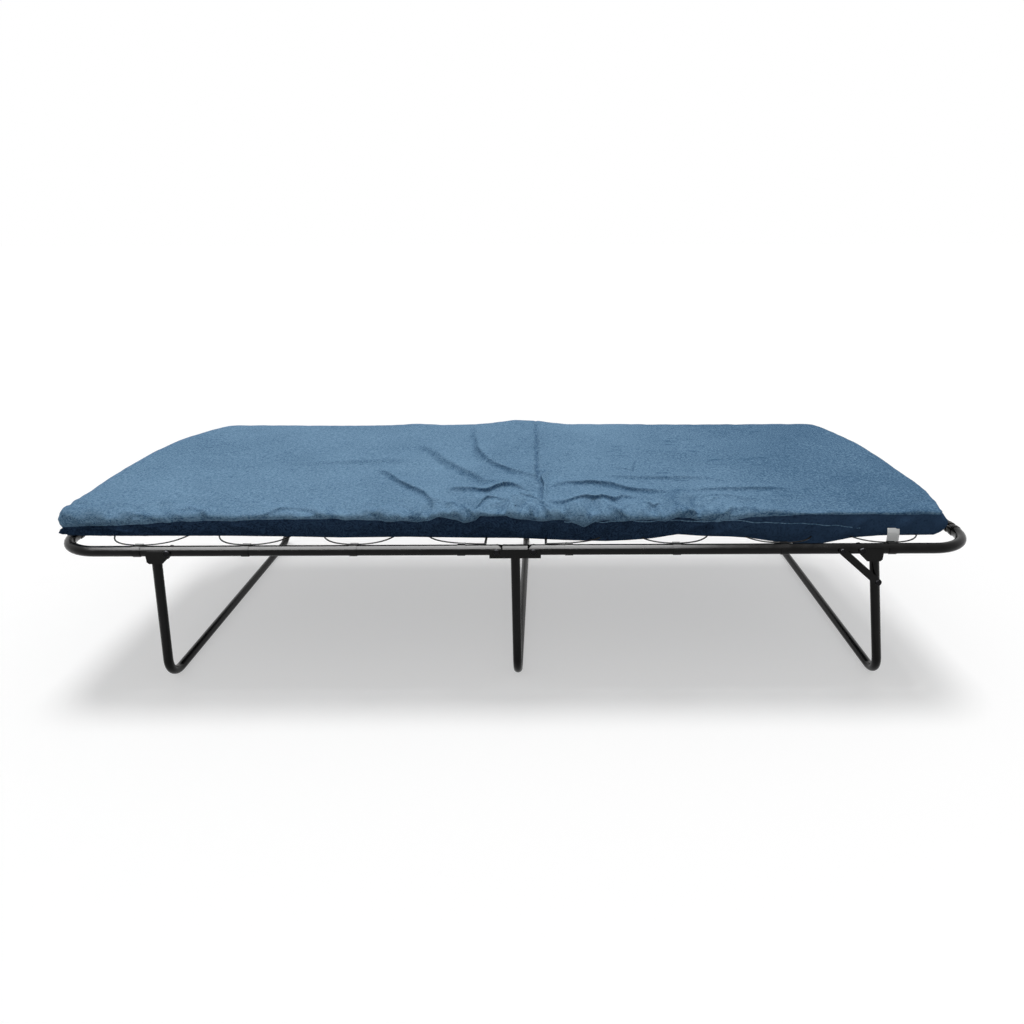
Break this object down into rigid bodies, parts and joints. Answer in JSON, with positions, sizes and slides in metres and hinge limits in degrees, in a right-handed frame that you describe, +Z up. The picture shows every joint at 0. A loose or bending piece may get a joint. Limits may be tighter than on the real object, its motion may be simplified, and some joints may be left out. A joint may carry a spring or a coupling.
{
  "type": "folding bed",
  "caption": "Tube-framed guest bed that folds in half over a middle leg, with folding end legs, a sprung wire net and a soft mattress.",
  "frame": {"origin": "on the floor, under the middle of the opened bed", "axes": "+X along the bed towards the end with the stays, +Y across the bed away from the near side, +Z up"},
  "size_m": [1.9026, 0.8132, 0.3906],
  "materials": {
    "black_enamel": "gloss black powder coat on steel tube and pressed sheet",
    "net_wire": "dark lacquered spring wire and pressed clips",
    "rivet_steel": "dark plated steel rivets",
    "cover_fabric": "matt blue woven cover, darker at the sides",
    "foam": "soft open-cell foam",
    "label_tape": "bare white satin tape"
  },
  "bodies": {
    "centre": {"centre_leg": "black_enamel", "hinge_channel_near": "black_enamel", "hinge_channel_far": "black_enamel", "hinge_spacer_near": "black_enamel", "hinge_spacer_far": "black_enamel", "hinge_rivets": "rivet_steel"},
    "left_half": {"left_frame_tube": "black_enamel", "left_net_wires": "net_wire", "left_net_end_wire": "net_wire", "left_net_links": "net_wire", "left_rail_clips": "net_wire", "left_end_hooks": "net_wire", "left_leg_rivets": "rivet_steel", "left_mattress_cover": "cover_fabric", "left_mattress_foam": "foam"},
    "left_end_leg": {"left_leg": "black_enamel", "left_leg_bracket_near": "black_enamel", "left_leg_bracket_far": "black_enamel"},
    "right_half": {"right_frame_tube": "black_enamel", "right_net_wires": "net_wire", "right_net_end_wire": "net_wire", "right_net_links": "net_wire", "right_rail_clips": "net_wire", "right_end_hooks": "net_wire", "right_leg_rivets": "rivet_steel", "right_mattress_cover": "cover_fabric", "right_mattress_foam": "foam", "right_stay_pivot_near": "rivet_steel", "right_stay_pivot_far": "rivet_steel", "care_label": "label_tape"},
    "right_end_leg": {"right_leg": "black_enamel", "right_leg_bracket_near": "black_enamel", "right_leg_bracket_far": "black_enamel", "right_leg_studs": "black_enamel"},
    "near_stay": {"right_stay_near": "black_enamel", "right_stay_rivet_near": "rivet_steel"},
    "far_stay": {"right_stay_far": "black_enamel", "right_stay_rivet_far": "rivet_steel"}
  },
  "joints": [
    {"name": "left_fold", "type": "hinge", "parent": "centre", "child": "left_half", "pos_m": [-0.037, 0, 0.312], "axis": [0, 1, 0], "range_deg": [0, 90], "deforming": ["left_mattress_cover", "left_mattress_foam"]},
    {"name": "right_fold", "type": "hinge", "parent": "centre", "child": "right_half", "pos_m": [0.037, 0, 0.312], "axis": [0, -1, 0], "range_deg": [0, 90], "deforming": ["right_mattress_cover", "right_mattress_foam"]},
    {"name": "left_leg_fold", "type": "hinge", "parent": "left_half", "child": "left_end_leg", "pos_m": [-0.7, 0, 0.312], "axis": [0, -1, 0], "range_deg": [0, 95]},
    {"name": "right_leg_fold", "type": "hinge", "parent": "right_half", "child": "right_end_leg", "pos_m": [0.7, 0, 0.312], "axis": [0, 1, 0], "range_deg": [0, 100]},
    {"name": "near_stay_swing", "type": "hinge", "parent": "right_half", "child": "near_stay", "pos_m": [0.659, 0, 0.312], "axis": [0, 1, 0], "range_deg": [0, 139]},
    {"name": "far_stay_swing", "type": "hinge", "parent": "right_half", "child": "far_stay", "pos_m": [0.659, 0, 0.312], "axis": [0, 1, 0], "range_deg": [0, 139]}
  ]
}
